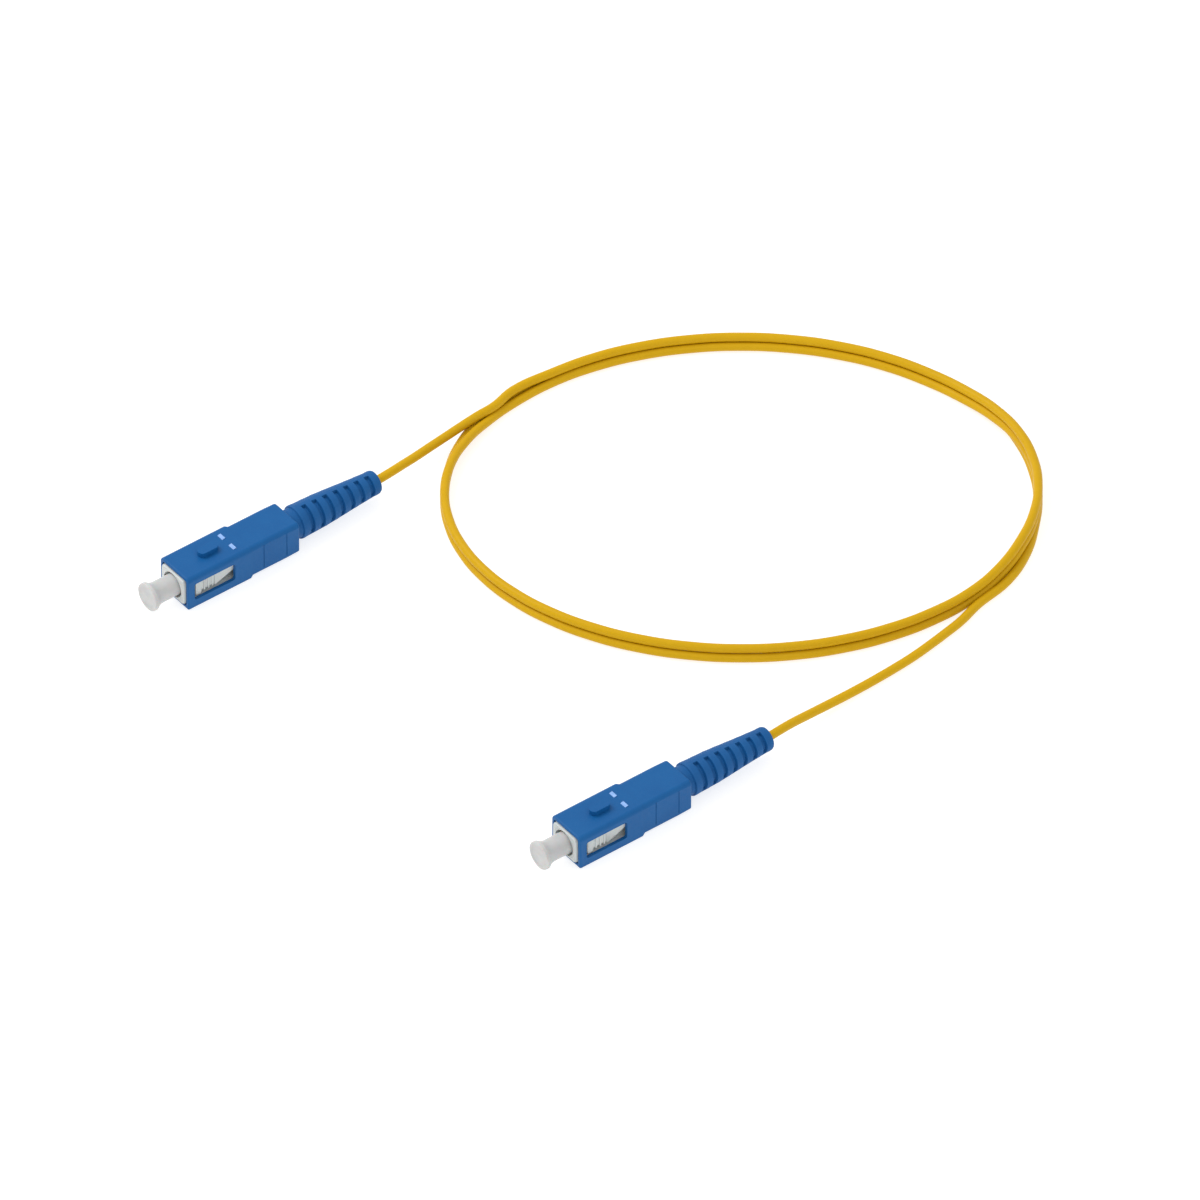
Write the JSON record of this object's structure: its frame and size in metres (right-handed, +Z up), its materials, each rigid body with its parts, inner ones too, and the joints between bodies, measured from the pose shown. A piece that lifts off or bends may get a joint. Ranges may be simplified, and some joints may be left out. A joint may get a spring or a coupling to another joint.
{
  "type": "fiber optic patch cord",
  "caption": "Single-fibre patch cord laid in a loose loop, with a square push-pull connector, ribbed boot and dust cap on each end.",
  "frame": {"origin": "midway between the two connectors, on the surface that they lie on", "axes": "+Z up; both connectors lie along Y with their ferrules towards -Y; +X from connector a to connector b"},
  "size_m": [0.1271, 0.1815, 0.0097],
  "materials": {
    "blue_plastic": "moulded, satin gloss",
    "blue_rubber": "moulded flexible boot, soft sheen",
    "ivory_plastic": "moulded, satin",
    "cap_plastic": "soft milky translucent",
    "zirconia": "polished",
    "nickel": "turned and plated",
    "spring_steel": "drawn wire",
    "cable_jacket": "extruded, satin",
    "aramid": "yarn",
    "buffer": "extruded",
    "clear_tube": "extruded, milky"
  },
  "bodies": {
    "root": {"cable_lead_a": "cable_jacket", "cable_lead_b": "cable_jacket", "cable_loop": "cable_jacket", "plug_frame_a": "ivory_plastic", "rear_body_a": "nickel", "ferrule_spring_a": "spring_steel", "guide_tube_a": "clear_tube", "fibre_buffer_a": "buffer", "strength_yarn_a": "aramid", "crimp_sleeve_a": "nickel", "jacket_tail_a": "cable_jacket", "boot_a": "blue_rubber", "plug_frame_b": "ivory_plastic", "rear_body_b": "nickel", "ferrule_spring_b": "spring_steel", "guide_tube_b": "clear_tube", "fibre_buffer_b": "buffer", "strength_yarn_b": "aramid", "crimp_sleeve_b": "nickel", "jacket_tail_b": "cable_jacket", "boot_b": "blue_rubber"},
    "coupling_a": {"coupling_housing_a": "blue_plastic"},
    "coupling_b": {"coupling_housing_b": "blue_plastic"},
    "ferrule_group_a": {"ferrule_a": "zirconia", "ferrule_holder_a": "nickel"},
    "ferrule_group_b": {"ferrule_b": "zirconia", "ferrule_holder_b": "nickel"},
    "cap_a": {"dust_cap_a": "cap_plastic"},
    "cap_b": {"dust_cap_b": "cap_plastic"}
  },
  "joints": [
    {"name": "coupling_slide_a", "type": "slide", "parent": "root", "child": "coupling_a", "axis": [0, 1, 0], "range_m": [0, 0.0018]},
    {"name": "coupling_slide_b", "type": "slide", "parent": "root", "child": "coupling_b", "axis": [0, 1, 0], "range_m": [0, 0.0018]},
    {"name": "ferrule_float_a", "type": "slide", "parent": "root", "child": "ferrule_group_a", "axis": [0, 1, 0], "range_m": [0, 0.0012], "stiffness_N_per_m": 1500, "springref_m": -0.005, "deforming": ["ferrule_spring_a"]},
    {"name": "ferrule_float_b", "type": "slide", "parent": "root", "child": "ferrule_group_b", "axis": [0, 1, 0], "range_m": [0, 0.0012], "stiffness_N_per_m": 1500, "springref_m": -0.005, "deforming": ["ferrule_spring_b"]},
    {"name": "cap_pull_a", "type": "slide", "parent": "ferrule_group_a", "child": "cap_a", "axis": [0, -1, 0], "range_m": [0, 0.014]},
    {"name": "cap_pull_b", "type": "slide", "parent": "ferrule_group_b", "child": "cap_b", "axis": [0, -1, 0], "range_m": [0, 0.014]}
  ]
}
